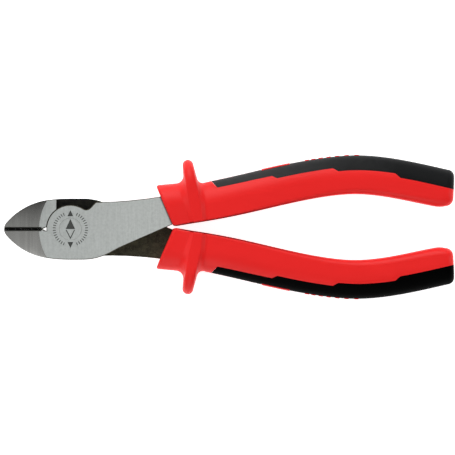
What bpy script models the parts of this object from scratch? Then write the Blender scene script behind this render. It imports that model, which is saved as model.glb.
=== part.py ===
"""Diagonal cutting pliers, 200 mm, with insulated two-colour grips.

The tool lies flat, head towards -X and handles towards +X, with the pivot axis along +Z. Two
forged levers lap at the pivot, each half the head's thickness there, and turn on a flush rivet.
The front lever is the lower jaw and the upper handle. The rear lever has the same head turned
half a turn about X, and an arm of its own. Each handle is a red core moulded over the lever's
tang, with a soft dark pad moulded over the core's back, through which the core's ribs show.

The row's origin is on the pivot axis, at the head's flat back. Shapes are worked out in
millimetres about the pivot at the head's mid-plane, then scaled to metres.
"""
import math

import bmesh
import bpy
import numpy as np
from mathutils import Matrix, Vector

MM = 0.001

# Head and lap joint.
HEAD_THICKNESS = 12.0
HEAD_HALF_WIDTH = 13.55
HALF = HEAD_THICKNESS / 2
SEAM = 0.3                     # gap between the two lapped levers, along Z
EDGE_GAP = 0.3                 # gap between the closed cutting edges
DISC_RADIUS = 10.6             # round joint plate about the pivot
SHOULDER_GAP = 0.3             # running gap from the plate to the other jaw's shoulder
STEP_X = -6.3                  # straight end of a jaw's shoulder, where it stops the other lever
ROOT_X = -12.8                 # where the cutting edges end
ROOT_HALF_HEIGHT = 0.7         # relief hole between the edges and the joint plate
ROOT_TAPER = 1.5               # over which the hole narrows to the edges
CROWN_X = -0.6                 # where the head is widest
CROWN_ARC = (68.0, -8.0)       # radius and turn of the jaw's back, from the joint to the nose
JAW_ARC = (30.0, -41.0)

# Ground faces of the jaws: a cone about an axis behind the pivot.
GRIND_CENTRE_X = 10.5
GRIND_RADIUS = 24.35
GRIND_SLOPE = 0.219
GRIND_SPAN = (120, 240)        # the sector that the cutter sweeps, about the cone's axis
GRIND_STEP = 4                 # degrees between the cone's facets
GRIND_START = 2.0              # how far inside the cone's edge the cutter starts
GRIND_REACH = 20.0             # how far outside it the cutter ends
GROOVE_HALF_WIDTH = 0.75
GROOVE_DEPTH = 1.5
EDGE_LAND = 0.4                # height of the cutting edge between groove and relief
RELIEF_ANGLE = 25.0

# Arm, from the joint to inside the grip.
HEEL_RUN = 6.2
FRONT_ARM = {
    "palm": [(25.0, 30.0), (55.0, -6.3), (0, 29.5)],   # moves along the palm edge
    "heading": 0.8,                                    # where the upper edge leaves the flank
    "arc": (188.0, 11.6),                              # and its bend into the grip
}
REAR_ARM = {
    "palm": [(25.0, 25.2), (55.0, -4.2), (0, 31.5)],
    "heading": -2.0,
    "arc": (168.0, 13.0),
}
NOTCH_FILLET = 2.5
NOTCH_ANGLE = 57.6             # where the plate's rim ends, about the pivot
FLANK_HEADING = 46.0
FLANK_RUN = 3.1
FLANK_CORNER = 1.2
TANG_ROOT = (44.0, 8.0)        # where the tang's middle starts, inside the arm
TANG_SHARE = 0.47              # where it lies between the palm and the back edge
TANG_STATIONS = [              # X, whether still in the arm's plane, half width, half thickness
    (52.0, True, 4.6, 2.6), (66.0, False, 4.4, 2.8), (90.0, False, 4.0, 2.6),
    (112.0, False, 3.8, 2.5), (128.0, False, 3.6, 2.5), (150.0, False, 3.0, 2.2)]

# Rivet.
RIVET_HEAD_RADIUS = 4.9
RIVET_SHANK_RADIUS = 4.0
RIVET_HEAD_DEPTH = 0.5
RIVET_CLEARANCE = 0.1
RIVET_SEGMENTS = 48

# Grip: the upper one's two edges, the front collar and the thumb guard.
GRIP_HALF = 8.0
BACK_ROUND = 11.0              # depth of the half ellipse that is a section's back
FRONT_PALM_CORNER = 1.2        # rounding along the palm edge, up to the guard
REAR_PALM_CORNER = 4.0         # and at the grip's end
SMALLEST_CORNER = 0.3          # of a section that is drawn in
GRIP_FIT = 0.3                 # gap from a moulded piece to what it is moulded on
GRIP_LIFT = 0.9                # both grips sit this far towards the front lever's side
BACK_KNOTS = [(59.4, 19.8), (70.0, 22.1), (91.3, 27.0), (112.7, 30.8), (126.0, 31.9),
              (144.7, 30.3), (168.0, 25.4)]
PALM_KNOTS = [(45.6, 0.4), (59.3, 2.4), (75.3, 5.4), (96.7, 10.3), (112.7, 13.4),
              (126.0, 14.6), (144.7, 12.6), (160.7, 9.35), (164.5, 8.95), (168.0, 9.7)]
COLLAR_START = (37.7, 18.7)
COLLAR_HEADING = 4.5
COLLAR_EDGE = 0.9              # chamfer round the collar's front
COLLAR_RUN = 9.15
GUARD_FRONT_FILLET = 3.4
GUARD_BACK_FILLET = 2.6
GUARD_LEAN = 94.0              # heading of the guard's front side
GUARD_TIP_RADIUS = 2.4
GUARD_BACK_HEADING = -75.0
GUARD_FRONT_RUN = 4.3
GUARD_BACK_RUN = 6.8
GUARD_END_HEADING = 12.0
GUARD_RISE = 1.2               # how far the guard's ridge stands out of the grip's faces
GUARD_RAMP = 1.6               # steepness of the ridge's two flanks
RIDGE_START_X = 53.4           # the ridge's foot along the palm edge
RIDGE_END_X = 60.2
GRIP_END_X = 170.5
END_SLANT = 0.9
END_ROUND = 3.3
END_TURNS = (45, 80)           # where sections stand round that end

# Soft pad along the grip's back: start and end X, and the depth there from the back edge.
PAD_TIP = (60.8, 22.1)
PAD_PANELS = [(65.2, 89.4, 3.5, 3.9), (91.7, 116.4, 5.45, 5.2),
              (118.8, 144.0, 6.75, 6.6), (146.2, 173.0, 8.2, 8.2)]
PANEL_STEPS = 5                # chords along each panel's lower edge
PAD_SKIN = 2.5                 # thickness of the pad over the core's spine
RIB_STEP = 4.0                 # longest chord along a rib
RIB_PROUD = 0.28
RIB_DEPTH = 4.0                # from the grip's back down into the core
RIB_REACH = 3.0                # how far a rib's uncut block stands out of the back
LONG_RIB = (84.8, 97.2, 2.2)   # start and end X, half width
RIB_HALF_WIDTH = 1.3
RIB_COUNT = 7
RIB_FIRST_X = 104.9
RIB_PITCH = 2.75
RIB_PITCH_GROWTH = 0.155
RIB_LENGTH = 1.9

ARC_STEP = 10.0                # degrees in each chord of an arc
STATION_COUNT = 18             # sections along a grip behind its guard
BACK_STEPS = 5                 # chords in each half of a section's back
CORNER_STEPS = 2               # chords in each palm corner
FAR = 60.0                     # a reach past everything, for cutters


def walk(start, heading, moves):
    """Points along runs and arcs. A move is (0, length), or (radius, turn) with left positive."""
    x, y = start
    angle = math.radians(heading)
    points = [(x, y)]
    for radius, amount in moves:
        if radius == 0:
            x += amount * math.cos(angle)
            y += amount * math.sin(angle)
            points.append((x, y))
            continue
        reach = math.copysign(radius, amount)
        centre_x = x - reach * math.sin(angle)
        centre_y = y + reach * math.cos(angle)
        first = angle
        steps = max(2, math.ceil(abs(amount) / ARC_STEP))
        for step in range(1, steps + 1):
            angle = first + math.radians(amount) * step / steps
            x = centre_x + reach * math.sin(angle)
            y = centre_y - reach * math.cos(angle)
            points.append((x, y))
    return points


def smooth_curve(knots):
    """The natural cubic spline y(x) through the knots, as a function of x."""
    xs, ys = (np.array(values, float) for values in zip(*knots))
    gaps = np.diff(xs)
    slopes = np.diff(ys) / gaps
    system = np.eye(len(xs))
    right = np.zeros(len(xs))
    for k in range(1, len(xs) - 1):
        system[k, k - 1:k + 2] = (gaps[k - 1], 2 * (gaps[k - 1] + gaps[k]), gaps[k])
        right[k] = 6 * (slopes[k] - slopes[k - 1])
    bend = np.linalg.solve(system, right)

    def value(x):
        k = int(np.clip(np.searchsorted(xs, x) - 1, 0, len(gaps) - 1))
        b = (x - xs[k]) / gaps[k]
        a = 1 - b
        sag = ((a ** 3 - a) * bend[k] + (b ** 3 - b) * bend[k + 1]) * gaps[k] ** 2 / 6
        return float(a * ys[k] + b * ys[k + 1] + sag)

    return value


back_edge = smooth_curve(BACK_KNOTS)
palm_edge = smooth_curve(PALM_KNOTS)


def lerp(first, last, share):
    return first + (last - first) * share


# Meshes.

def finish_mesh(name, mesh_data):
    """Close a bmesh in millimetres into an object in metres, faces pointing out."""
    bmesh.ops.recalc_face_normals(mesh_data, faces=mesh_data.faces)
    bmesh.ops.scale(mesh_data, vec=(MM, MM, MM), verts=mesh_data.verts)
    mesh = bpy.data.meshes.new(name)
    mesh_data.to_mesh(mesh)
    mesh_data.free()
    obj = bpy.data.objects.new(name, mesh)
    bpy.context.collection.objects.link(obj)
    return obj


def prism(name, outline, low, high):
    """An outline in XY extruded along Z from low to high."""
    mesh_data = bmesh.new()
    face = mesh_data.faces.new([mesh_data.verts.new((x, y, low)) for x, y in outline])
    raised = bmesh.ops.extrude_face_region(mesh_data, geom=[face])["geom"]
    verts = [item for item in raised if isinstance(item, bmesh.types.BMVert)]
    bmesh.ops.translate(mesh_data, vec=(0, 0, high - low), verts=verts)
    return finish_mesh(name, mesh_data)


def loft(name, rings):
    """A closed solid through rings of equal point count, capped at both ends."""
    mesh_data = bmesh.new()
    loops = [[mesh_data.verts.new(point) for point in ring] for ring in rings]
    size = len(loops[0])
    for one, two in zip(loops, loops[1:]):
        for k in range(size):
            after = (k + 1) % size
            mesh_data.faces.new((one[k], one[after], two[after], two[k]))
    mesh_data.faces.new(loops[0])
    mesh_data.faces.new(loops[-1])
    bmesh.ops.triangulate(mesh_data, faces=mesh_data.faces)
    return finish_mesh(name, mesh_data)


def turned(name, profile, segments):
    """A profile of (radius, z) points, from the Z axis back to it, turned about the axis."""
    mesh_data = bmesh.new()
    verts = [mesh_data.verts.new((radius, 0, z)) for radius, z in profile]
    edges = [mesh_data.edges.new(pair) for pair in zip(verts, verts[1:])]
    bmesh.ops.spin(mesh_data, geom=verts + edges, cent=(0, 0, 0), axis=(0, 0, 1),
                   angle=math.tau, steps=segments, use_merge=True)
    bmesh.ops.remove_doubles(mesh_data, verts=mesh_data.verts, dist=0.0001)
    return finish_mesh(name, mesh_data)


def boolean(obj, operation, other):
    """Apply one exact Boolean and drop the other object."""
    cut = obj.modifiers.new(operation, "BOOLEAN")
    cut.operation = operation
    cut.solver = "EXACT"
    cut.object = other
    bpy.context.view_layer.update()
    evaluated = obj.evaluated_get(bpy.context.evaluated_depsgraph_get())
    result = bpy.data.meshes.new_from_object(evaluated)
    obj.modifiers.clear()
    obj.data = result
    bpy.data.objects.remove(other)


def half_turned(obj):
    """Turn an object's mesh half a turn about X, from one side of the tool to the other."""
    obj.data.transform(Matrix.Rotation(math.pi, 4, "X"))
    return obj


# Levers.

def jaw_back():
    """The lower jaw's back edge, from the joint to the nose on the cutting line."""
    heading = 180.0
    points = walk((CROWN_X, -HEAD_HALF_WIDTH), heading, [CROWN_ARC, JAW_ARC])
    heading += CROWN_ARC[1] + JAW_ARC[1]
    drop = -EDGE_GAP / 2 - points[-1][1]
    nose_radius = drop / abs(math.cos(math.radians(heading)))
    nose = walk(points[-1], heading, [(nose_radius, 90.0 - heading)])
    return points + nose[1:]


def arm_palm(arm):
    """The arm's palm edge, from the head's crown to its end in the grip."""
    return walk((CROWN_X, -HEAD_HALF_WIDTH), 0.0, [(0, HEEL_RUN)] + arm["palm"])


def arm_upper(arm):
    """The joint plate's rim, the notch and the arm's upper edge, from the root to the grip."""
    root_angle = 180.0 + math.degrees(math.asin(ROOT_HALF_HEIGHT / DISC_RADIUS))
    start = (DISC_RADIUS * math.cos(math.radians(root_angle)), -ROOT_HALF_HEIGHT)
    return walk(start, root_angle - 90.0,
                [(DISC_RADIUS, NOTCH_ANGLE - root_angle),
                 (NOTCH_FILLET, FLANK_HEADING - (NOTCH_ANGLE - 90.0)),
                 (0, FLANK_RUN),
                 (FLANK_CORNER, arm["heading"] - FLANK_HEADING),
                 arm["arc"]])


def lever_outline(arm):
    notch = [(ROOT_X + ROOT_TAPER, -ROOT_HALF_HEIGHT), (ROOT_X, -EDGE_GAP / 2)]
    return arm_palm(arm) + arm_upper(arm)[::-1] + notch + jaw_back()[:0:-1]


def lap_pocket():
    """Everything behind the lap seam that is not the jaw's own block."""
    reach = DISC_RADIUS + SHOULDER_GAP
    foot = 180.0 + math.degrees(math.acos(-STEP_X / reach))
    steps = math.ceil((foot - 180.0) / ARC_STEP)
    rim = [math.radians(lerp(foot, 180.0, k / steps)) for k in range(steps + 1)]
    outline = [(STEP_X, -FAR)]
    outline += [(reach * math.cos(angle), reach * math.sin(angle)) for angle in rim]
    outline += [(-reach, FAR), (2 * FAR, FAR), (2 * FAR, -FAR)]
    return prism("lap_pocket", outline, -FAR, SEAM / 2)


def grind_cutter(side):
    """What is ground off one face of the jaws. side is 1 for the front and -1 for the back."""
    inner = GRIND_RADIUS - GRIND_START
    outer = GRIND_RADIUS + GRIND_REACH
    top = HEAD_THICKNESS

    def face(radius):
        return HALF - GRIND_SLOPE * (radius - GRIND_RADIUS)

    profile = [(inner, face(inner)), (outer, face(outer)), (outer, top), (inner, top)]
    rings = []
    for degrees in range(GRIND_SPAN[0], GRIND_SPAN[1] + 1, GRIND_STEP):
        angle = math.radians(degrees)
        rings.append([(GRIND_CENTRE_X + radius * math.cos(angle), radius * math.sin(angle), side * z)
                      for radius, z in profile])
    return loft("grind", rings)


def along_edges(name, half_section):
    """A cutter along the cutting edges. half_section gives (y, drop below the ground face)."""
    stations = [-FAR, GRIND_CENTRE_X - GRIND_RADIUS, ROOT_X]
    rings = []
    for x in stations:
        face = HALF - GRIND_SLOPE * max(0.0, GRIND_CENTRE_X - x - GRIND_RADIUS)
        section = [(y, face - drop) for y, drop in half_section]
        section += [(-y, z) for y, z in reversed(section) if y > 0]
        rings.append([(x, y, z) for y, z in section])
    return loft(name, rings)


def edge_groove():
    """The narrow V along the edges' front."""
    flare = (GROOVE_HALF_WIDTH - EDGE_GAP / 2) / GROOVE_DEPTH
    apex = GROOVE_DEPTH + EDGE_GAP / 2 / flare
    above = 2.0
    return along_edges("groove", [(0, apex), (GROOVE_HALF_WIDTH + above * flare, -above)])


def edge_relief():
    """The wide V that leaves the edges standing, from behind."""
    flare = math.tan(math.radians(RELIEF_ANGLE))
    start = GROOVE_DEPTH + EDGE_LAND
    apex = start - EDGE_GAP / 2 / flare
    below = 2 * HEAD_THICKNESS
    return along_edges("relief", [(0, apex), ((below - apex) * flare, below)])


def tang(name, extra):
    """The bar inside the grip, bent from the arm's plane to the middle. extra is its offset."""
    arm_z = (HALF + SEAM / 2) / 2
    stations = [(*TANG_ROOT, arm_z, *TANG_STATIONS[0][2:])]
    for x, in_plane, half_wide, half_thick in TANG_STATIONS:
        y = lerp(palm_edge(x), back_edge(x), TANG_SHARE)
        stations.append((x, y, arm_z if in_plane else 0.0, half_wide, half_thick))
    rings = []
    for index, (x, y, z, half_wide, half_thick) in enumerate(stations):
        ends = {0: -extra, len(stations) - 1: extra}
        wide = half_wide + extra
        thick = half_thick + extra
        corners = ((-wide, -thick), (wide, -thick), (wide, thick), (-wide, thick))
        rings.append([(x + ends.get(index, 0), y + dy, z + dz) for dy, dz in corners])
    return loft(name, rings)


def make_lever(name, arm, turned_over=False):
    """A lever with its jaw below the cutting line, or turned over with its jaw above it."""
    lever = prism(name, lever_outline(arm), -HALF, HALF)
    boolean(lever, "DIFFERENCE", lap_pocket())
    boolean(lever, "UNION", tang("tang", 0.0))
    if turned_over:
        half_turned(lever)
    boolean(lever, "DIFFERENCE", grind_cutter(1))
    boolean(lever, "DIFFERENCE", grind_cutter(-1))
    boolean(lever, "DIFFERENCE", edge_groove())
    boolean(lever, "DIFFERENCE", edge_relief())
    boolean(lever, "DIFFERENCE", rivet("bore", RIVET_CLEARANCE))
    return lever


def rivet(name, extra):
    """A shank with flush, countersunk heads. With extra it is the hole that takes it."""
    head = RIVET_HEAD_RADIUS + extra
    shank = RIVET_SHANK_RADIUS + extra
    end = HALF + (1.0 if extra else 0.0)
    lip = HALF - RIVET_HEAD_DEPTH
    foot = lip - (RIVET_HEAD_RADIUS - RIVET_SHANK_RADIUS)
    half = [(0, end), (head, end), (head, lip), (shank, foot)]
    return turned(name, half + [(radius, -z) for radius, z in reversed(half)], RIVET_SEGMENTS)


# Grips.

def section(outer, inner, half, palm_corner, inset):
    """A section between two edge points, drawn in by inset: elliptic back, rounded palm corners."""
    outer = Vector(outer)
    inner = Vector(inner)
    across = (outer - inner).normalized()
    start = inner + across * inset
    length = (outer - inner).length - 2 * inset
    thick = half - inset
    back = BACK_ROUND - inset
    corner = max(SMALLEST_CORNER, palm_corner - inset)
    upper = []
    for step in range(BACK_STEPS + 1):
        angle = math.radians(90) * step / BACK_STEPS
        upper.append((length - back * (1 - math.cos(angle)), thick * math.sin(angle)))
    for step in range(CORNER_STEPS + 1):
        angle = math.radians(90) * step / CORNER_STEPS
        upper.append((corner * (1 - math.sin(angle)), thick - corner * (1 - math.cos(angle))))
    outline = upper + [(wide, -z) for wide, z in reversed(upper[1:])]
    return [(*(start + across * wide), z) for wide, z in outline]


def guard_outline():
    return walk((0, 0), COLLAR_HEADING,
                [(GUARD_FRONT_FILLET, GUARD_LEAN - COLLAR_HEADING),
                 (0, GUARD_FRONT_RUN),
                 (GUARD_TIP_RADIUS, GUARD_BACK_HEADING - GUARD_LEAN),
                 (0, GUARD_BACK_RUN),
                 (GUARD_BACK_FILLET, GUARD_END_HEADING - GUARD_BACK_HEADING)])


def palm_point(x):
    return (x, palm_edge(x))


def grip_stations():
    """The whole grip as (outer point, inner point, half thickness, palm corner), front to end."""
    collar = walk(COLLAR_START, COLLAR_HEADING, [(0, COLLAR_RUN)])
    guard = [(collar[-1][0] + x, collar[-1][1] + y) for x, y in guard_outline()]
    stations = []
    for outer, palm_x in zip(collar, (PALM_KNOTS[0][0], RIDGE_START_X)):
        stations.append((outer, palm_point(palm_x), GRIP_HALF, FRONT_PALM_CORNER))
    last = len(guard) - 1
    for index, outer in enumerate(guard[1:], 1):
        share = index / last
        rise = GUARD_RISE * min(1.0, GUARD_RAMP * math.sin(math.pi * share))
        palm_x = lerp(RIDGE_START_X, RIDGE_END_X, share)
        stations.append((outer, palm_point(palm_x), GRIP_HALF + rise, FRONT_PALM_CORNER))
    first_x = guard[-1][0]
    lag = RIDGE_END_X - first_x
    end_x = GRIP_END_X - END_ROUND
    for index in range(1, STATION_COUNT + 1):
        x = lerp(first_x, end_x, index / STATION_COUNT)
        slant = lerp(lag, -END_SLANT, index / STATION_COUNT)
        corner = lerp(FRONT_PALM_CORNER, REAR_PALM_CORNER, index / STATION_COUNT)
        stations.append(((x, back_edge(x)), palm_point(x + slant), GRIP_HALF, corner))
    return stations


def inset_section(station, inset, shift):
    """A station's section drawn in by inset all round, and moved along X by shift."""
    return [(x + shift, y, z) for x, y, z in section(*station, inset)]


def end_rings(station, inset):
    """The sections that round the grip's end, behind its last station."""
    rings = []
    for degrees in END_TURNS:
        turn = math.radians(degrees)
        draw = END_ROUND * (1 - math.cos(turn))
        ahead = END_ROUND * math.sin(turn) - inset
        rings.append(inset_section(station, inset + draw, ahead))
    return rings


def grip_body(name):
    """The grip's whole outer shape."""
    stations = grip_stations()
    rings = [inset_section(stations[0], COLLAR_EDGE, 0)]
    rings += [inset_section(stations[0], 0, COLLAR_EDGE)]
    rings += [inset_section(station, 0, 0) for station in stations[1:]]
    return loft(name, rings + end_rings(stations[-1], 0))


def spine(name, inset):
    """The grip's shape behind its guard, drawn in by inset. Its end rings replace the last station."""
    stations = grip_stations()[-STATION_COUNT - 1:]
    rings = [inset_section(station, inset, 0) for station in stations[:-1]]
    return loft(name, rings + end_rings(stations[-1], inset))


def pad_boundary():
    """The pad's lower edge on the grip's face, in panels that step towards the palm."""
    points = [PAD_TIP]
    for first, last, depth_first, depth_last in PAD_PANELS:
        for k in range(PANEL_STEPS + 1):
            x = lerp(first, last, k / PANEL_STEPS)
            points.append((x, back_edge(x) - lerp(depth_first, depth_last, k / PANEL_STEPS)))
    return points


def pad_region(name, gap):
    """All space above the pad's lower edge, moved towards the palm by gap."""
    points = [(x - gap / 2, y - gap) for x, y in pad_boundary()]
    outline = [(points[0][0], FAR)] + points + [(points[-1][0], FAR)]
    return prism(name, outline[::-1], -FAR, FAR)


def rib_spans():
    """The start and end X and the half width of each rib, the long one first."""
    spans = [LONG_RIB]
    for k in range(RIB_COUNT):
        middle = RIB_FIRST_X + RIB_PITCH * k + RIB_PITCH_GROWTH * k * k
        spans.append((middle - RIB_LENGTH / 2, middle + RIB_LENGTH / 2, RIB_HALF_WIDTH))
    return spans


def rib_block(name, span, extra):
    """A block across the grip's back, from inside the core to well above, widened by extra."""
    start = span[0] - extra
    end = span[1] + extra
    half_wide = span[2] + extra
    steps = math.ceil((end - start) / RIB_STEP)
    xs = [lerp(start, end, k / steps) for k in range(steps + 1)]
    upper = [(x, back_edge(x) + RIB_REACH) for x in xs]
    lower = [(x, back_edge(x) - RIB_DEPTH) for x in reversed(xs)]
    return prism(name, upper + lower, -half_wide, half_wide)


def rib(span):
    """A rib whose top follows the grip's round back and stands a little proud of it."""
    block = rib_block("rib", span, 0.0)
    boolean(block, "INTERSECT", spine("swollen_grip", -RIB_PROUD))
    return block


def arm_clearance(arm):
    """The space that the arm takes in the grip, with its fit."""
    lower = [(x, y - GRIP_FIT) for x, y in arm_palm(arm)[-2:]]
    upper = [(x, y + GRIP_FIT) for x, y in arm_upper(arm) if x > lower[0][0]]
    lower[-1] = (lower[-1][0] + GRIP_FIT, lower[-1][1])
    upper[-1] = (upper[-1][0] + GRIP_FIT, upper[-1][1])
    return prism("arm_clearance", lower + upper[::-1], SEAM / 2 - GRIP_FIT, HALF + GRIP_FIT)


def moved(obj, lift):
    obj.data.transform(Matrix.Translation((0, lift * MM, 0)))
    return obj


def make_grip_core(name, arm, lift):
    """A red core on the upper side, moved by lift and then hollowed for its lever's arm."""
    core = grip_body(name)
    boolean(core, "DIFFERENCE", pad_region("pad_space", GRIP_FIT))
    boolean(core, "UNION", spine("spine", PAD_SKIN + GRIP_FIT))
    for span in rib_spans():
        boolean(core, "UNION", rib(span))
    moved(core, lift)
    boolean(core, "DIFFERENCE", arm_clearance(arm))
    boolean(core, "DIFFERENCE", tang("tang_clearance", GRIP_FIT))
    return core


def make_grip_pad(name, lift):
    pad = grip_body(name)
    boolean(pad, "INTERSECT", pad_region("pad_space", 0.0))
    boolean(pad, "DIFFERENCE", spine("spine", PAD_SKIN))
    for span in rib_spans():
        boolean(pad, "DIFFERENCE", rib_block("slot", span, GRIP_FIT))
    return moved(pad, lift)


# Assembly.

def surface(name, colour, metallic, roughness):
    material = bpy.data.materials.new(name)
    material.use_nodes = True
    shader = material.node_tree.nodes["Principled BSDF"]
    shader.inputs["Base Color"].default_value = (*colour, 1.0)
    shader.inputs["Metallic"].default_value = metallic
    shader.inputs["Roughness"].default_value = roughness
    return material


def place(obj, material, parent):
    """Give a finished solid its surface and hang it on the pivot."""
    obj.data.materials.clear()
    obj.data.materials.append(material)
    obj.data.shade_smooth()
    obj.data.set_sharp_from_angle(angle=math.radians(30))
    obj.parent = parent


def main():
    for obj in list(bpy.data.objects):
        bpy.data.objects.remove(obj)
    steel = surface("ground_steel", (0.40, 0.42, 0.40), 1.0, 0.35)
    red = surface("red_plastic", (0.79, 0.026, 0.024), 0.0, 0.45)
    dark = surface("dark_soft_plastic", (0.03, 0.032, 0.034), 0.0, 0.6)
    pivot = bpy.data.objects.new("pivot", None)
    pivot.location = (0, 0, HALF * MM)
    bpy.context.collection.objects.link(pivot)
    solids = [
        (make_lever("front_lever", FRONT_ARM), steel),
        (make_lever("rear_lever", REAR_ARM, turned_over=True), steel),
        (rivet("pivot_rivet", 0.0), steel),
        (make_grip_core("upper_grip_core", FRONT_ARM, GRIP_LIFT), red),
        (make_grip_pad("upper_grip_pad", GRIP_LIFT), dark),
        (half_turned(make_grip_core("lower_grip_core", REAR_ARM, -GRIP_LIFT)), red),
        (half_turned(make_grip_pad("lower_grip_pad", -GRIP_LIFT)), dark),
    ]
    for obj, material in solids:
        place(obj, material, pivot)


main()
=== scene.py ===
import math

import bmesh
import bpy
import numpy as np
from mathutils import Matrix, Vector


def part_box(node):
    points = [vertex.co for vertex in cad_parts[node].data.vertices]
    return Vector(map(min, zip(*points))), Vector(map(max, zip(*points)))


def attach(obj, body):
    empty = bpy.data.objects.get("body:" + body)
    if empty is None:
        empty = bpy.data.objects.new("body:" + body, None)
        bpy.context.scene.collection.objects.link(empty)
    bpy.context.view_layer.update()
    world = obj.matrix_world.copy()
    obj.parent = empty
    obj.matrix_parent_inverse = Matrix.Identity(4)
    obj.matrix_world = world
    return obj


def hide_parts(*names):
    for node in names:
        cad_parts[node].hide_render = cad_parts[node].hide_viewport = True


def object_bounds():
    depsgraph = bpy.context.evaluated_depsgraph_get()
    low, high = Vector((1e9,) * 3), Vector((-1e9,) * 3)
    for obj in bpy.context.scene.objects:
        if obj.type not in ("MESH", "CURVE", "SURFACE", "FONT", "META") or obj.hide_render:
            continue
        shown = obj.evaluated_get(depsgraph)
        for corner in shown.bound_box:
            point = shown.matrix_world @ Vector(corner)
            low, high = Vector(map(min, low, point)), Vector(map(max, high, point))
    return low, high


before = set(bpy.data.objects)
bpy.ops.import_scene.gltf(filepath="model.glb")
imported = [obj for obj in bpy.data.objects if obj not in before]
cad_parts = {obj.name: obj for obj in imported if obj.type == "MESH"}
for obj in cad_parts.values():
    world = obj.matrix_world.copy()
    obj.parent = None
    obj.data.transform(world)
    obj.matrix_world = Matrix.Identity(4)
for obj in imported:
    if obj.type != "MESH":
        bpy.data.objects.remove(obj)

CAD_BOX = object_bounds()
MM = 0.001
HEAD_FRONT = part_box("front_lever")[1].z
HEAD_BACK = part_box("front_lever")[0].z
HALF = (HEAD_FRONT - HEAD_BACK) / 2 / MM       # half of the head's thickness
PIVOT_Z = (HEAD_FRONT + HEAD_BACK) / 2         # height of the head's mid-plane, in metres

# Head and lap joint.
HEAD_HALF_WIDTH = 13.55
SEAM = 0.3                     # gap between the two lapped levers, along Z
EDGE_GAP = 0.004               # gap between the closed cutting edges
DISC_RADIUS = 10.6             # round joint plate about the pivot
SHOULDER_GAP = 0.22            # from the joint plate to the jaw's shoulder round it
STEP_X = -6.3                  # straight end of a jaw's shoulder
ROOT_X = -12.8                 # where the cutting edges end
ROOT_HALF_HEIGHT = 0.7
ROOT_TAPER = 1.5
CROWN_X = -0.6                 # where the head is widest
CROWN_ARC = (68.0, -8.0)       # radius and turn of the jaw's back, from the joint to the nose
JAW_ARC = (30.0, -41.0)
RIM_BEVEL = 0.3                # broken edge all round a forging
RIM_SEGMENTS = 2

# Ground faces of the jaws: a cone about an axis behind the pivot.
GRIND_CENTRE_X = 10.5
GRIND_RADIUS = 24.35
GRIND_SLOPE = 0.219
GRIND_SPAN = (120, 240)        # degrees round that axis
GRIND_STEP = 2
GRIND_START = 2.0              # the cutter begins this far inside the flat face's rim
GRIND_REACH = 20.0             # and ends this far outside it
GROOVE_HALF_WIDTH = 0.95       # at the ground face
GROOVE_OVERRUN = 2.0           # of the groove's cutter above the ground face
GROOVE_DEPTH = 1.5
EDGE_LAND = 0.4                # height of the upright lands between the groove and the relief
RELIEF_ANGLE = 25.0            # degrees from each side of the relief to the upright

# Arm, from the joint to inside the grip.
HEEL_RUN = 6.2                 # straight edge behind the crown
FRONT_ARM = {
    "palm": [(25.0, 30.0), (55.0, -6.3), (0, 29.5)],   # moves along the palm edge
    "heading": 0.8,                                    # where the upper edge leaves the flank
    "arc": (188.0, 11.6),                              # and its bend into the grip
}
REAR_ARM = {
    "palm": [(25.0, 25.2), (55.0, -4.2), (0, 31.5)],
    "heading": -2.0,
    "arc": (168.0, 13.0),
}
NOTCH_FILLET = 2.5
NOTCH_ANGLE = 57.6             # where the joint plate's rim ends at the notch, degrees from +X
FLANK_HEADING = 46.0           # of the notch's straight side
FLANK_RUN = 3.1
FLANK_CORNER = 1.2
TANG_ROOT = (44.0, 8.0)        # X and Y of the tang's first section, inside the arm
TANG_SHARE = 0.47              # of the way from the palm edge to the back edge
TANG_STATIONS = [              # X, whether still in the arm's plane, half width, half thickness
    (52.0, True, 4.6, 2.6), (66.0, False, 4.4, 2.8), (90.0, False, 4.0, 2.6),
    (112.0, False, 3.8, 2.5), (128.0, False, 3.6, 2.5), (150.0, False, 3.0, 2.2)]

# Rivet.
RIVET_HEAD_RADIUS = 4.9
RIVET_SHANK_RADIUS = 4.0
RIVET_HEAD_DEPTH = 0.5
RIVET_CLEARANCE = 0.04
RIVET_SEGMENTS = 128
RIVET_EDGE = 0.06
BORE_OVERRUN = 1.0             # of the hole beyond the head's faces

# Grip.
GRIP_HALF = 8.0
BACK_ROUND = 11.0              # how far the elliptic back reaches towards the palm
FRONT_PALM_CORNER = 1.2        # rounding along the palm edge, up to the guard
REAR_PALM_CORNER = 4.0         # and at the grip's end
SMALLEST_CORNER = 0.3
GRIP_FIT = 0.3                 # gap from the core to the lever inside it
MOULD_FIT = 0.06               # gap from the pad to the core, which show as one line
GRIP_LIFT = 0.9                # shift of both grips towards +Y, from the knots below
BACK_KNOTS = [(59.4, 19.8), (70.0, 22.1), (91.3, 27.0), (112.7, 30.8), (126.0, 31.9),
              (144.7, 30.3), (168.0, 25.4)]
PALM_KNOTS = [(45.6, 0.4), (59.3, 2.4), (75.3, 5.4), (96.7, 10.3), (112.7, 13.4),
              (126.0, 14.6), (144.7, 12.6), (160.7, 9.35), (164.5, 8.95), (168.0, 9.7)]
COLLAR_START = (37.7, 18.7)
COLLAR_HEADING = 4.5
COLLAR_ROUND = 1.4             # rounding round the collar's front
COLLAR_TURNS = (0, 22, 45, 68, 90)
COLLAR_PALM_SHARE = 0.4        # how much of that rounding the palm side has
COLLAR_RUN = 9.15
GUARD_FRONT_FILLET = 3.4
GUARD_BACK_FILLET = 2.6
GUARD_LEAN = 94.0              # heading of the guard's front
GUARD_TIP_RADIUS = 2.4
GUARD_BACK_HEADING = -75.0     # of its back
GUARD_FRONT_RUN = 4.3
GUARD_BACK_RUN = 6.8
GUARD_END_HEADING = 12.0       # and of the grip's back edge behind it
GUARD_RISE = 1.2               # of the guard's ridge over the grip's faces
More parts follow.
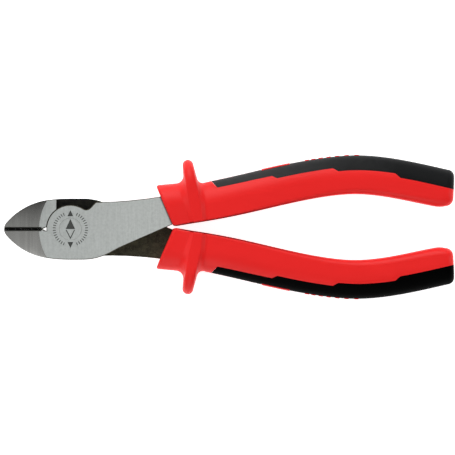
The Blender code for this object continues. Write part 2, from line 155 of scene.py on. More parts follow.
GUARD_RAMP = 1.6               # over 1 gives the ridge a flat top
RIDGE_START_X = 53.4           # where the ridge meets the palm edge
RIDGE_END_X = 60.2
GRIP_END_X = 170.5
END_SLANT = 0.9                # how far the palm edge ends short of the back
END_ROUND = 3.3
END_TURNS = (15, 30, 45, 60, 72, 84)

# Soft pad and the core's ribs that show through it.
PAD_TIP = (60.8, 22.1)         # foremost point of the pad's lower edge
# Panels of that edge: start and end X, and how deep it lies below the back edge at each.
PAD_PANELS = [(65.2, 89.4, 3.5, 3.9), (91.7, 116.4, 5.45, 5.2),
              (118.8, 144.0, 6.75, 6.6), (146.2, 173.0, 8.2, 8.2)]
PANEL_STEPS = 24
PAD_SKIN = 2.5                 # thickness of the pad
RIB_STEP = 1.0
RIB_PROUD = 0.28               # how far a rib stands out of the grip's back
RIB_DEPTH = 4.0                # how far its block reaches in from the back edge
RIB_REACH = 3.0                # and out, before it is trimmed
LONG_RIB = (84.8, 97.2, 2.2)   # start and end X, half width
RIB_HALF_WIDTH = 1.3
RIB_COUNT = 7
RIB_FIRST_X = 104.9
RIB_PITCH = 2.75
RIB_PITCH_GROWTH = 0.155       # the pitch widens towards the grip's end
RIB_LENGTH = 1.9

# How a lever's faces are told apart, by their place (mm) and the size of their normal's Y and Z.
PLACE_FIT = 0.1
FLAT_FACING = 0.999            # least Z of a face that is flat across the pivot
GRIND_FACING_FIT = 0.004       # for the Z of the jaws' ground faces
EDGE_REACH = 6.0               # the groove and the relief lie within this of the cutting edges
EDGE_FACING = 0.5              # least Y of their faces
SLOPE_FACING = 0.1             # least Z of their faces, apart from
LAND_REACH = 0.5               # the upright lands this near to the cutting edges

# Etched ornament.
ETCH_DEPTH = 0.03
ETCH_RISE = 0.015
TICK_RADII = (6.5, 7.8)
TICK_SPREAD = 66.0             # degrees to each side of the X axis
TICK_STEP = 8.8
TICK_HALF_TURN = 1.5
POINT_SPAN = (5.7, 8.4)        # foot and tip, from the pivot
POINT_HALF_WIDTH = 1.3
RHOMBUS = (4.5, 2.1)           # half height and half width
RHOMBUS_LINE = 0.4
RHOMBUS_GAP = 0.35

# Where painted shade and light change, in metres from the pivot along X unless it says otherwise.
NOSE_SHADE_SPAN = (-0.012, 0.03)   # the ground faces, from darker with painted shade to brighter
JOINT_SHADE_SPAN = (0.010, 0.016)     # the lap joint's painted shade fades out
PALM_SHADE_SPAN = (0.12, 0.07)      # the painted shade on the palm edges fades in towards the head
PAD_FADE = (0.08, 0.145)       # painted light: a pad's fore grey to its rear grey
PAD_FADE_WANDER = 0.008
GROOVE_FADE = (0.0002, 0.001)  # painted shade: black to the groove's dark grey, to each side of the cutting edges
COLLAR_SHADOW_LINE = (0.76, 0.06)      # mm before the collar, where a painted shadow darkens the arm

# Fore grey, rear grey and specular level of each pad, as painted light: the upper pad lit and the
# lower shaded, from one material.
PAD_LIT_AND_SHADED_TONES = {"upper": (0.029, 0.0055, 0.07), "lower": (0.0008, 0.0004, 0.015)}

WHITE = (1.0, 1.0, 1.0, 1.0)

# Studio. A patch: azimuth and tilt from straight up, inner and outer radius (degrees), strength.
ROOM_GLOW = 0.09               # overhead, between the patches
HORIZON_GLOW = 0.85
SKY_PATCHES = [
    (290, 5, 9, 21, 0.96),     # over the head's flat face
    (193, 25, 9, 11.5, 0.7),   # over both jaws, near the cutting edges
    (217, 32, 3, 15, 1.05),    # over the lower jaw's ground face
    (100, 54, 10, 28, 4.9),    # key light, from behind the upper grip
    (262, 60, 10, 26, 2.6)]    # the weaker light opposite
NEAR_GLOW_SHARE = 0.25         # the horizon's glow on the -Y side, of that on the +Y side
NEAR_TO_FAR = (-0.3, 0.5)      # the Y of a direction, over which it grows
HORIZON_BAND = (0.05, 0.35)    # the Z of a direction, over which the horizon fades to the room
FLOOR_BAND = (-0.004, 0.0)     # and over which the floor's white meets the horizon
FLOOR_GLOW = 0.8
FLOOR_RADIUS = 30.0
FLOOR_SEGMENTS = 96
FLOOR_DROP = 0.0002            # from the tool's lowest point, in metres
FILL_SPOTS = {"left_fill": (-1.3, 0.1, 0.95), "right_fill": (1.45, 0.1, 0.95)}
FILL_AIM = (0.07, 0.0, 0.0)
FILL_SIZE = 0.7
FILL_POWER = 6

# Camera, straight above the tool's middle.
SENSOR_WIDTH = 36.0
LENS = 400.0
VIEW_WIDTH = 0.2022            # what the frame spans at the pivot's height, in metres
VIEW_CENTRE = (0.06964, 0.0007)
CLIP_RANGE = (0.05, 60.0)

ARC_STEP = 2.5                 # degrees in each chord of an arc
TIGHT_ARC_STEP = 7.5           # the same for arcs under the tight radius
TIGHT_RADIUS = 6.0
LEAST_ARC_STEPS = 2
STATION_STEP = 1.2             # spacing of the sections behind the guard
BACK_STEPS = 20                # chords over half of a section's back
CORNER_STEPS = 6               # and round each palm corner
FAR = 60.0                     # beyond the tool, for cutters
LEVEL = 0.001                  # two points within this lie at one height
WELD = 0.0001
CREASES = {"lever": 20, "rivet": 25, "grip": 35}   # degrees above which an edge stays sharp


def walk(start, heading, moves):
    """Points along runs and arcs. A move is (0, length), or (radius, turn) with left positive."""
    x, y = start
    angle = math.radians(heading)
    points = [(x, y)]
    for radius, amount in moves:
        if radius == 0:
            x += amount * math.cos(angle)
            y += amount * math.sin(angle)
            points.append((x, y))
            continue
        reach = math.copysign(radius, amount)
        centre_x = x - reach * math.sin(angle)
        centre_y = y + reach * math.cos(angle)
        first = angle
        chord = TIGHT_ARC_STEP if radius < TIGHT_RADIUS else ARC_STEP
        steps = max(LEAST_ARC_STEPS, math.ceil(abs(amount) / chord))
        for step in range(1, steps + 1):
            angle = first + math.radians(amount) * step / steps
            x = centre_x + reach * math.sin(angle)
            y = centre_y - reach * math.cos(angle)
            points.append((x, y))
    return points


def smooth_curve(knots):
    """The natural cubic spline y(x) through the knots, as a function of x."""
    xs, ys = (np.array(values, float) for values in zip(*knots))
    gaps = np.diff(xs)
    slopes = np.diff(ys) / gaps
    system = np.eye(len(xs))
    right = np.zeros(len(xs))
    for k in range(1, len(xs) - 1):
        system[k, k - 1:k + 2] = (gaps[k - 1], 2 * (gaps[k - 1] + gaps[k]), gaps[k])
        right[k] = 6 * (slopes[k] - slopes[k - 1])
    bend = np.linalg.solve(system, right)

    def value(x):
        k = int(np.clip(np.searchsorted(xs, x) - 1, 0, len(gaps) - 1))
        b = (x - xs[k]) / gaps[k]
        a = 1 - b
        sag = ((a ** 3 - a) * bend[k] + (b ** 3 - b) * bend[k + 1]) * gaps[k] ** 2 / 6
        return float(a * ys[k] + b * ys[k + 1] + sag)

    return value


back_edge = smooth_curve(BACK_KNOTS)
palm_edge = smooth_curve(PALM_KNOTS)


def lerp(first, last, share):
    return first + (last - first) * share


# Meshes.

def finish_mesh(name, mesh_data):
    """Close a bmesh in millimetres into an object in metres, faces pointing out."""
    bmesh.ops.recalc_face_normals(mesh_data, faces=mesh_data.faces)
    bmesh.ops.scale(mesh_data, vec=(MM, MM, MM), verts=mesh_data.verts)
    mesh = bpy.data.meshes.new(name)
    mesh_data.to_mesh(mesh)
    mesh_data.free()
    obj = bpy.data.objects.new(name, mesh)
    bpy.context.scene.collection.objects.link(obj)
    return obj


def prism(name, outline, low, high, rim=0.0):
    """An outline in XY extruded along Z from low to high, with its two rims rounded by rim."""
    mesh_data = bmesh.new()
    face = mesh_data.faces.new([mesh_data.verts.new((x, y, low)) for x, y in outline])
    raised = bmesh.ops.extrude_face_region(mesh_data, geom=[face])["geom"]
    verts = [item for item in raised if isinstance(item, bmesh.types.BMVert)]
    bmesh.ops.translate(mesh_data, vec=(0, 0, high - low), verts=verts)
    if rim:
        rims = [edge for edge in mesh_data.edges
                if abs(edge.verts[0].co.z - edge.verts[1].co.z) < LEVEL]
        bmesh.ops.bevel(mesh_data, geom=rims, offset=rim, offset_type="OFFSET",
                        segments=RIM_SEGMENTS, profile=0.5, affect="EDGES", clamp_overlap=True)
    return finish_mesh(name, mesh_data)


def loft(name, rings):
    """A closed solid through rings of equal point count, capped at both ends."""
    mesh_data = bmesh.new()
    loops = [[mesh_data.verts.new(point) for point in ring] for ring in rings]
    size = len(loops[0])
    for one, two in zip(loops, loops[1:]):
        for k in range(size):
            after = (k + 1) % size
            mesh_data.faces.new((one[k], one[after], two[after], two[k]))
    mesh_data.faces.new(loops[0])
    mesh_data.faces.new(loops[-1])
    return finish_mesh(name, mesh_data)


def turned(name, profile, segments):
    """A profile of (radius, z) points, from the Z axis back to it, turned about the axis."""
    mesh_data = bmesh.new()
    verts = [mesh_data.verts.new((radius, 0, z)) for radius, z in profile]
    edges = [mesh_data.edges.new(pair) for pair in zip(verts, verts[1:])]
    bmesh.ops.spin(mesh_data, geom=verts + edges, cent=(0, 0, 0), axis=(0, 0, 1),
                   angle=math.tau, steps=segments, use_merge=True)
    bmesh.ops.remove_doubles(mesh_data, verts=mesh_data.verts, dist=WELD)
    return finish_mesh(name, mesh_data)


def boolean(obj, operation, other):
    """Apply one exact Boolean and drop the other object."""
    cut = obj.modifiers.new(operation, "BOOLEAN")
    cut.operation = operation
    cut.solver = "EXACT"
    cut.object = other
    bpy.context.view_layer.update()
    evaluated = obj.evaluated_get(bpy.context.evaluated_depsgraph_get())
    result = bpy.data.meshes.new_from_object(evaluated)
    obj.modifiers.clear()
    obj.data = result
    bpy.data.objects.remove(other)


def half_turned(obj):
    """Turn an object's mesh half a turn about X, from one side of the tool to the other."""
    obj.data.transform(Matrix.Rotation(math.pi, 4, "X"))
    return obj


# Levers.

def jaw_back():
    """The lower jaw's back edge, from the joint to the nose on the cutting line."""
    heading = 180.0
    points = walk((CROWN_X, -HEAD_HALF_WIDTH), heading, [CROWN_ARC, JAW_ARC])
    heading += CROWN_ARC[1] + JAW_ARC[1]
    drop = -EDGE_GAP / 2 - points[-1][1]
    nose_radius = drop / abs(math.cos(math.radians(heading)))
    nose = walk(points[-1], heading, [(nose_radius, 90.0 - heading)])
    return points + nose[1:]


def arm_palm(arm):
    """The arm's palm edge, from the head's crown to its end in the grip."""
    return walk((CROWN_X, -HEAD_HALF_WIDTH), 0.0, [(0, HEEL_RUN)] + arm["palm"])


def arm_upper(arm):
    """The joint plate's rim, the notch and the arm's upper edge, from the root to the grip."""
    root_angle = 180.0 + math.degrees(math.asin(ROOT_HALF_HEIGHT / DISC_RADIUS))
    start = (DISC_RADIUS * math.cos(math.radians(root_angle)), -ROOT_HALF_HEIGHT)
    return walk(start, root_angle - 90.0,
                [(DISC_RADIUS, NOTCH_ANGLE - root_angle),
                 (NOTCH_FILLET, FLANK_HEADING - (NOTCH_ANGLE - 90.0)),
                 (0, FLANK_RUN),
                 (FLANK_CORNER, arm["heading"] - FLANK_HEADING),
                 arm["arc"]])


def lever_outline(arm):
    notch = [(ROOT_X + ROOT_TAPER, -ROOT_HALF_HEIGHT), (ROOT_X, -EDGE_GAP / 2)]
    return arm_palm(arm) + arm_upper(arm)[::-1] + notch + jaw_back()[:0:-1]


def lap_pocket():
    """Everything behind the lap seam that is not the jaw's own block."""
    reach = DISC_RADIUS + SHOULDER_GAP
    foot = 180.0 + math.degrees(math.acos(-STEP_X / reach))
    steps = math.ceil((foot - 180.0) / ARC_STEP)
    rim = [math.radians(lerp(foot, 180.0, k / steps)) for k in range(steps + 1)]
    outline = [(STEP_X, -FAR)]
    outline += [(reach * math.cos(angle), reach * math.sin(angle)) for angle in rim]
    outline += [(-reach, FAR), (2 * FAR, FAR), (2 * FAR, -FAR)]
    return prism("lap_pocket", outline, -FAR, SEAM / 2)


def grind_cutter(side):
    """What is ground off one face of the jaws. side is 1 for the front and -1 for the back."""
    inner = GRIND_RADIUS - GRIND_START
    outer = GRIND_RADIUS + GRIND_REACH
    top = 2 * HALF

    def face(radius):
        return HALF - GRIND_SLOPE * (radius - GRIND_RADIUS)

    profile = [(inner, face(inner)), (outer, face(outer)), (outer, top), (inner, top)]
    rings = []
    for degrees in range(GRIND_SPAN[0], GRIND_SPAN[1] + 1, GRIND_STEP):
        angle = math.radians(degrees)
        along, across = math.cos(angle), math.sin(angle)
        rings.append([(GRIND_CENTRE_X + radius * along, radius * across, side * z)
                      for radius, z in profile])
    return loft("grind", rings)


def along_edges(name, half_section):
    """A cutter along the cutting edges. half_section gives (y, drop below the ground face)."""
    stations = [-FAR, GRIND_CENTRE_X - GRIND_RADIUS, ROOT_X]
    rings = []
    for x in stations:
        face = HALF - GRIND_SLOPE * max(0.0, GRIND_CENTRE_X - x - GRIND_RADIUS)
        section = [(y, face - drop) for y, drop in half_section]
        section += [(-y, z) for y, z in reversed(section) if y > 0]
        rings.append([(x, y, z) for y, z in section])
    return loft(name, rings)


def edge_groove():
    """The narrow V along the edges' front."""
    flare = (GROOVE_HALF_WIDTH - EDGE_GAP / 2) / GROOVE_DEPTH
    apex = GROOVE_DEPTH + EDGE_GAP / 2 / flare
    mouth = GROOVE_HALF_WIDTH + GROOVE_OVERRUN * flare
    return along_edges("groove", [(0, apex), (mouth, -GROOVE_OVERRUN)])


def edge_relief():
    """The wide V that leaves the edges standing, from behind."""
    flare = math.tan(math.radians(RELIEF_ANGLE))
    start = GROOVE_DEPTH + EDGE_LAND
    apex = start - EDGE_GAP / 2 / flare
    below = 4 * HALF
    return along_edges("relief", [(0, apex), ((below - apex) * flare, below)])


def tang(name, extra):
    """The bar inside the grip, bent from the arm's plane to the middle. extra is its offset."""
    arm_z = (HALF + SEAM / 2) / 2
    stations = [(*TANG_ROOT, arm_z, *TANG_STATIONS[0][2:])]
    for x, in_plane, half_wide, half_thick in TANG_STATIONS:
        y = lerp(palm_edge(x), back_edge(x), TANG_SHARE)
        stations.append((x, y, arm_z if in_plane else 0.0, half_wide, half_thick))
    rings = []
    for index, (x, y, z, half_wide, half_thick) in enumerate(stations):
        ends = {0: -extra, len(stations) - 1: extra}
        wide = half_wide + extra
        thick = half_thick + extra
        corners = ((-wide, -thick), (wide, -thick), (wide, thick), (-wide, thick))
        rings.append([(x + ends.get(index, 0), y + dy, z + dz) for dy, dz in corners])
    return loft(name, rings)


def make_lever(name, arm, turned_over=False):
    """A lever with its jaw below the cutting line, or turned over with its jaw above it."""
    lever = prism(name, lever_outline(arm), -HALF, HALF, RIM_BEVEL)
    boolean(lever, "DIFFERENCE", lap_pocket())
    boolean(lever, "UNION", tang("tang", 0.0))
    if turned_over:
        half_turned(lever)
    boolean(lever, "DIFFERENCE", grind_cutter(1))
    boolean(lever, "DIFFERENCE", grind_cutter(-1))
    boolean(lever, "DIFFERENCE", edge_groove())
    boolean(lever, "DIFFERENCE", edge_relief())
    boolean(lever, "DIFFERENCE", rivet("bore", RIVET_CLEARANCE))
    return lever


def rivet(name, extra):
    """A shank with flush, countersunk heads. With extra it is the hole that takes it."""
    head = RIVET_HEAD_RADIUS + extra
    shank = RIVET_SHANK_RADIUS + extra
    lip = HALF - RIVET_HEAD_DEPTH
    foot = lip - (RIVET_HEAD_RADIUS - RIVET_SHANK_RADIUS)
    if extra:
        end = [(0, HALF + BORE_OVERRUN), (head, HALF + BORE_OVERRUN)]
    else:
        end = [(0, HALF), (head - RIVET_EDGE, HALF), (head, HALF - RIVET_EDGE)]
    half = end + [(head, lip), (shank, foot)]
    return turned(name, half + [(radius, -z) for radius, z in reversed(half)], RIVET_SEGMENTS)


# Grips.

def section(outer, inner, half, palm_corner, inset):
    """A section between two edge points, drawn in by inset: elliptic back, rounded palm corners."""
    outer = Vector(outer)
    inner = Vector(inner)
    across = (outer - inner).normalized()
    start = inner + across * inset
    length = (outer - inner).length - 2 * inset
    thick = half - inset
    back = BACK_ROUND - inset
    corner = max(SMALLEST_CORNER, palm_corner - inset)
    upper = []
    for step in range(BACK_STEPS + 1):
        angle = math.radians(90) * step / BACK_STEPS
        upper.append((length - back * (1 - math.cos(angle)), thick * math.sin(angle)))
    for step in range(CORNER_STEPS + 1):
        angle = math.radians(90) * step / CORNER_STEPS
        upper.append((corner * (1 - math.sin(angle)), thick - corner * (1 - math.cos(angle))))
    outline = upper + [(wide, -z) for wide, z in reversed(upper[1:])]
    return [(*(start + across * wide), z) for wide, z in outline]


def guard_outline():
    return walk((0, 0), COLLAR_HEADING,
                [(GUARD_FRONT_FILLET, GUARD_LEAN - COLLAR_HEADING),
                 (0, GUARD_FRONT_RUN),
                 (GUARD_TIP_RADIUS, GUARD_BACK_HEADING - GUARD_LEAN),
                 (0, GUARD_BACK_RUN),
                 (GUARD_BACK_FILLET, GUARD_END_HEADING - GUARD_BACK_HEADING)])


def palm_point(x):
    return (x, palm_edge(x))


def station_count():
    return math.ceil((GRIP_END_X - END_ROUND - RIDGE_END_X) / STATION_STEP)


def grip_stations():
    """The whole grip as (outer point, inner point, half thickness, palm corner), front to end."""
    collar = walk(COLLAR_START, COLLAR_HEADING, [(0, COLLAR_RUN)])
    guard = [(collar[-1][0] + x, collar[-1][1] + y) for x, y in guard_outline()]
    stations = []
    for outer, palm_x in zip(collar, (PALM_KNOTS[0][0], RIDGE_START_X)):
        stations.append((outer, palm_point(palm_x), GRIP_HALF, FRONT_PALM_CORNER))
    last = len(guard) - 1
    for index, outer in enumerate(guard[1:], 1):
        share = index / last
        rise = GUARD_RISE * min(1.0, GUARD_RAMP * math.sin(math.pi * share))
        palm_x = lerp(RIDGE_START_X, RIDGE_END_X, share)
        stations.append((outer, palm_point(palm_x), GRIP_HALF + rise, FRONT_PALM_CORNER))
    first_x = guard[-1][0]
    lag = RIDGE_END_X - first_x
    end_x = GRIP_END_X - END_ROUND
    count = station_count()
    for index in range(1, count + 1):
        x = lerp(first_x, end_x, index / count)
        slant = lerp(lag, -END_SLANT, index / count)
        corner = lerp(FRONT_PALM_CORNER, REAR_PALM_CORNER, index / count)
        stations.append(((x, back_edge(x)), palm_point(x + slant), GRIP_HALF, corner))
    return stations


def inset_section(station, inset, shift):
    """A station's section drawn in by inset all round, and moved along X by shift."""
    return [(x + shift, y, z) for x, y, z in section(*station, inset)]


def end_rings(station, inset):
    """The sections that round the grip's end, behind its last station."""
    rings = []
    for degrees in END_TURNS:
        turn = math.radians(degrees)
        draw = END_ROUND * (1 - math.cos(turn))
        ahead = END_ROUND * math.sin(turn) - inset
        if ahead > 0 or inset == 0:
            rings.append(inset_section(station, inset + draw, ahead))
    return rings


def grip_body(name):
    """The grip's whole outer shape."""
    stations = grip_stations()
    outer, inner, *rest = stations[0]
    towards_palm = (Vector(inner) - Vector(outer)).normalized()
    rings = []
    for degrees in COLLAR_TURNS:
        turn = math.radians(degrees)
        draw = COLLAR_ROUND * (1 - math.sin(turn))
        ahead = COLLAR_ROUND * (1 - math.cos(turn))
        palm = Vector(inner) + towards_palm * draw * (1 - COLLAR_PALM_SHARE)
        rings.append(inset_section((outer, palm, *rest), draw, ahead))
    rings += [inset_section(station, 0, 0) for station in stations[1:]]
    return loft(name, rings + end_rings(stations[-1], 0))


def spine(name, inset):
    """The grip's shape behind its guard, drawn in by inset. It stops short by inset too."""
    stations = grip_stations()[-station_count() - 1:]
    keep = len(stations) - 1 - math.ceil(max(0.0, inset) / STATION_STEP)
    rings = [inset_section(station, inset, 0) for station in stations[:keep]]
    return loft(name, rings + end_rings(stations[-1], inset))


def pad_boundary():
    """The pad's lower edge on the grip's face, in panels that step towards the palm."""
    points = [PAD_TIP]
    for first, last, depth_first, depth_last in PAD_PANELS:
        for k in range(PANEL_STEPS + 1):
            x = lerp(first, last, k / PANEL_STEPS)
            points.append((x, back_edge(x) - lerp(depth_first, depth_last, k / PANEL_STEPS)))
    return points


def pad_region(name, gap):
    """All space above the pad's lower edge, moved towards the palm by gap."""
    points = [(x - gap / 2, y - gap) for x, y in pad_boundary()]
    outline = [(points[0][0], FAR)] + points + [(points[-1][0], FAR)]
    return prism(name, outline[::-1], -FAR, FAR)


def rib_spans():
    """The start and end X and the half width of each rib, the long one first."""
    spans = [LONG_RIB]
    for k in range(RIB_COUNT):
        middle = RIB_FIRST_X + RIB_PITCH * k + RIB_PITCH_GROWTH * k * k
        spans.append((middle - RIB_LENGTH / 2, middle + RIB_LENGTH / 2, RIB_HALF_WIDTH))
    return spans


def rib_block(name, span, extra):
    """A block across the grip's back, from inside the core to well above, widened by extra."""
    start = span[0] - extra
    end = span[1] + extra
    half_wide = span[2] + extra
    steps = math.ceil((end - start) / RIB_STEP)
    xs = [lerp(start, end, k / steps) for k in range(steps + 1)]
    upper = [(x, back_edge(x) + RIB_REACH) for x in xs]
    lower = [(x, back_edge(x) - RIB_DEPTH) for x in reversed(xs)]
    return prism(name, upper + lower, -half_wide, half_wide)


def joined(name, parts):
    """Several closed shapes that lie clear of each other, as one mesh."""
    mesh_data = bmesh.new()
    for part in parts:
        mesh_data.from_mesh(part.data)
        bpy.data.objects.remove(part)
    mesh = bpy.data.meshes.new(name)
    mesh_data.to_mesh(mesh)
    mesh_data.free()
    obj = bpy.data.objects.new(name, mesh)
    bpy.context.scene.collection.objects.link(obj)
    return obj


def all_ribs(name, extra):
    return joined(name, [rib_block("rib", span, extra) for span in rib_spans()])


def arm_clearance(arm):
    """The space that the arm takes in the grip, with its fit."""
    lower = [(x, y - GRIP_FIT) for x, y in arm_palm(arm)[-2:]]
    upper = [(x, y + GRIP_FIT) for x, y in arm_upper(arm) if x > lower[0][0]]
    lower[-1] = (lower[-1][0] + GRIP_FIT, lower[-1][1])
    upper[-1] = (upper[-1][0] + GRIP_FIT, upper[-1][1])
    return prism("arm_clearance", lower + upper[::-1], SEAM / 2 - GRIP_FIT, HALF + GRIP_FIT)


def moved(obj, lift):
    obj.data.transform(Matrix.Translation((0, lift * MM, 0)))
    return obj


def make_grip_core(name, arm, lift):
    """A red core on the upper side, moved by lift and then hollowed for its lever's arm."""
    core = grip_body(name)
    boolean(core, "DIFFERENCE", pad_region("pad_space", MOULD_FIT))
    boolean(core, "UNION", spine("spine", PAD_SKIN + MOULD_FIT))
    ribs = all_ribs("ribs", 0.0)
    boolean(ribs, "INTERSECT", spine("swollen_grip", -RIB_PROUD))
    boolean(core, "UNION", ribs)
    moved(core, lift)
    boolean(core, "DIFFERENCE", arm_clearance(arm))
    boolean(core, "DIFFERENCE", tang("tang_clearance", GRIP_FIT))
    return core


def make_grip_pad(name, lift):
    pad = grip_body(name)
    boolean(pad, "INTERSECT", pad_region("pad_space", 0.0))
    boolean(pad, "DIFFERENCE", spine("spine", PAD_SKIN))
    boolean(pad, "DIFFERENCE", all_ribs("slots", MOULD_FIT))
    return moved(pad, lift)


# Etched ornament round the pivot: a ring of ticks, two points and a half-filled rhombus.

def polar(radius, degrees):
    angle = math.radians(degrees)
    return (radius * math.cos(angle), radius * math.sin(angle))


def etched(name, outline):
    return prism(name, outline, HALF - ETCH_DEPTH, HALF + ETCH_RISE)


def ring_marks():
    """The marks on the joint plate: ticks on its left and right, and a point above and below."""
    marks = []
    count = round(2 * TICK_SPREAD / TICK_STEP)
    for side in (0, 180):
        for k in range(count + 1):
            middle = side + lerp(-TICK_SPREAD, TICK_SPREAD, k / count)
            inner, outer = TICK_RADII
            corners = [polar(inner, middle - TICK_HALF_TURN), polar(outer, middle - TICK_HALF_TURN),
                       polar(outer, middle + TICK_HALF_TURN), polar(inner, middle + TICK_HALF_TURN)]
            marks.append(etched("tick", corners))
    for side in (1, -1):
        foot, tip = POINT_SPAN
        corners = [(-POINT_HALF_WIDTH, foot), (POINT_HALF_WIDTH, foot), (0, tip)]
        marks.append(etched("point", [(x, side * y) for x, y in corners]))
    return joined("ring_marks", marks)


def rhombus_marks():
    """The marks on the rivet's head: a rhombus, solid above and an outline below."""
    high, wide = RHOMBUS
    inner_high = high - RHOMBUS_LINE * math.hypot(high, wide) / wide
    inner_wide = wide - RHOMBUS_LINE * math.hypot(high, wide) / high
    upper = [(-wide, 0), (wide, 0), (0, high)]
    lower = [(wide, -RHOMBUS_GAP), (0, -high), (-wide, -RHOMBUS_GAP), (-inner_wide, -RHOMBUS_GAP),
             (0, -inner_high), (inner_wide, -RHOMBUS_GAP)]
    return joined("rhombus_marks", [etched("upper", upper), etched("lower", lower)])


# Materials. Colours are linear. Noise mostly lies between 0.3 and 0.7, which sets the spreads.

class Nodes:
    """Short calls that build one material's node tree."""

    def __init__(self, name):
        self.material = bpy.data.materials.new(name)
        self.material.use_nodes = True
        self.tree = self.material.node_tree
        self.shader = self.tree.nodes["Principled BSDF"]
        coords = self.tree.nodes.new("ShaderNodeTexCoord")
        self.place = coords.outputs["Object"]
        self.facing = coords.outputs["Normal"]

    def link(self, source, target):
        self.tree.links.new(source, target)

    def set(self, **values):
        for name, value in values.items():
            self.shader.inputs[name.replace("_", " ")].default_value = value

    def noise(self, scale, detail=3.0, rough=0.55, stretch=(1, 1, 1)):
        """Noise of so many cells a metre, stretched by making some axes coarser."""
        mapping = self.tree.nodes.new("ShaderNodeMapping")
        mapping.inputs["Scale"].default_value = stretch
        self.link(self.place, mapping.inputs["Vector"])
        node = self.tree.nodes.new("ShaderNodeTexNoise")
        node.inputs["Scale"].default_value = scale
        node.inputs["Detail"].default_value = detail
        node.inputs["Roughness"].default_value = rough
        self.link(mapping.outputs["Vector"], node.inputs["Vector"])
        return node.outputs["Fac"]

    def spread(self, source, low, high, first=0.0, last=1.0):
        """Map a value's low..high to first..last."""
        node = self.tree.nodes.new("ShaderNodeMapRange")
        node.inputs["From Min"].default_value = low
        node.inputs["From Max"].default_value = high
        node.inputs["To Min"].default_value = first
        node.inputs["To Max"].default_value = last
        self.link(source, node.inputs["Value"])
        return node.outputs["Result"]

    def math(self, operation, one, two):
        node = self.tree.nodes.new("ShaderNodeMath")
        node.operation = operation
        for socket, value in zip(node.inputs, (one, two)):
            if isinstance(value, (int, float)):
                socket.default_value = value
            else:
                self.link(value, socket)
        return node.outputs["Value"]

    def blend(self, one, two, share):
        """Two values added, with this share of the second."""
        return self.math("ADD", self.math("MULTIPLY", one, 1 - share),
                         self.math("MULTIPLY", two, share))

    def size(self, value):
        """A value without its sign."""
        return self.math("ABSOLUTE", value, 0.0)

    def mix(self, share, one, two):
        """Two colours mixed by a value. A colour is a tuple or a node's output."""
        node = self.tree.nodes.new("ShaderNodeMix")
        node.data_type = "RGBA"
        self.link(share, node.inputs["Factor"])
        for socket, value in ((node.inputs[6], one), (node.inputs[7], two)):
            if isinstance(value, tuple):
                socket.default_value = (*value, 1.0)
            else:
                self.link(value, socket)
        return node.outputs[2]

    def bump(self, height, distance, strength=1.0):
        node = self.tree.nodes.new("ShaderNodeBump")
        node.inputs["Strength"].default_value = strength
        node.inputs["Distance"].default_value = distance
        self.link(height, node.inputs["Height"])
        self.link(node.outputs["Normal"], self.shader.inputs["Normal"])

    def colour(self, source):
        self.link(source, self.shader.inputs["Base Color"])

    def roughness(self, source):
        self.link(source, self.shader.inputs["Roughness"])

    def axis(self, name, source=None):
        """One component of the place on the piece, or of another vector."""
        split = self.tree.nodes.new("ShaderNodeSeparateXYZ")
        self.link(source or self.place, split.inputs["Vector"])
        return split.outputs[name]


def satin_steel():
    """The flat ground faces: fine mottling, faint grinding lines along Y, painted shade towards the
    nose, a painted shadow line at the collar.
    """
    nodes = Nodes("satin_steel")
    nodes.set(Metallic=1.0)
    mottle = nodes.noise(900, 5.0, 0.65)
    lines = nodes.noise(1500, 3.0, 0.6, (1, 0.06, 1))
    both = nodes.blend(mottle, lines, 0.4)
    shade = nodes.spread(both, 0.36, 0.64)
    ground = nodes.mix(shade, (0.50, 0.527, 0.508), (0.61, 0.637, 0.618))
    # painted shade: the flat faces darken towards the nose, in place of a dimmer reflection
    nose_shaded = nodes.mix(shade, (0.445, 0.469, 0.456), (0.54, 0.565, 0.552))
    base_tone = nodes.mix(nodes.spread(nodes.axis("X"), *NOSE_SHADE_SPAN), nose_shaded, ground)
    # painted shadow: a dark line on the arm just before the collar's front edge
    palm_x, palm_y = PALM_KNOTS[0]
    lean = (palm_x - COLLAR_START[0]) / (COLLAR_START[1] - palm_y)
    collar = palm_x + lean * (palm_y + GRIP_LIFT)
    across = nodes.math("ADD", nodes.axis("X"), nodes.math("MULTIPLY", nodes.axis("Y"), lean))
    collar_shadow = nodes.spread(across, *((collar - before) * MM for before in COLLAR_SHADOW_LINE))
    nodes.colour(nodes.mix(collar_shadow, base_tone, (0.03, 0.028, 0.025)))
    nodes.roughness(nodes.spread(both, 0.3, 0.7, 0.42, 0.32))
    nodes.bump(both, 0.00002, 0.35)
    return nodes.material


def brushed_steel():
    """The jaws' ground faces: streaks across the edges, along Y."""
    nodes = Nodes("brushed_steel")
    nodes.set(Metallic=1.0)
    streaks = nodes.noise(1150, 2.0, 0.5, (1, 0.03, 0.03))
    broad = nodes.noise(260, 2.0, 0.5, (1, 0.2, 0.2))
    both = nodes.blend(streaks, broad, 0.3)
    shade = nodes.spread(both, 0.36, 0.64)
    nodes.colour(nodes.mix(shade, (0.25, 0.25, 0.24), (0.29, 0.291, 0.279)))
    nodes.roughness(nodes.spread(both, 0.3, 0.7, 0.23, 0.17))
    nodes.bump(both, 0.000002, 0.4)
    return nodes.material


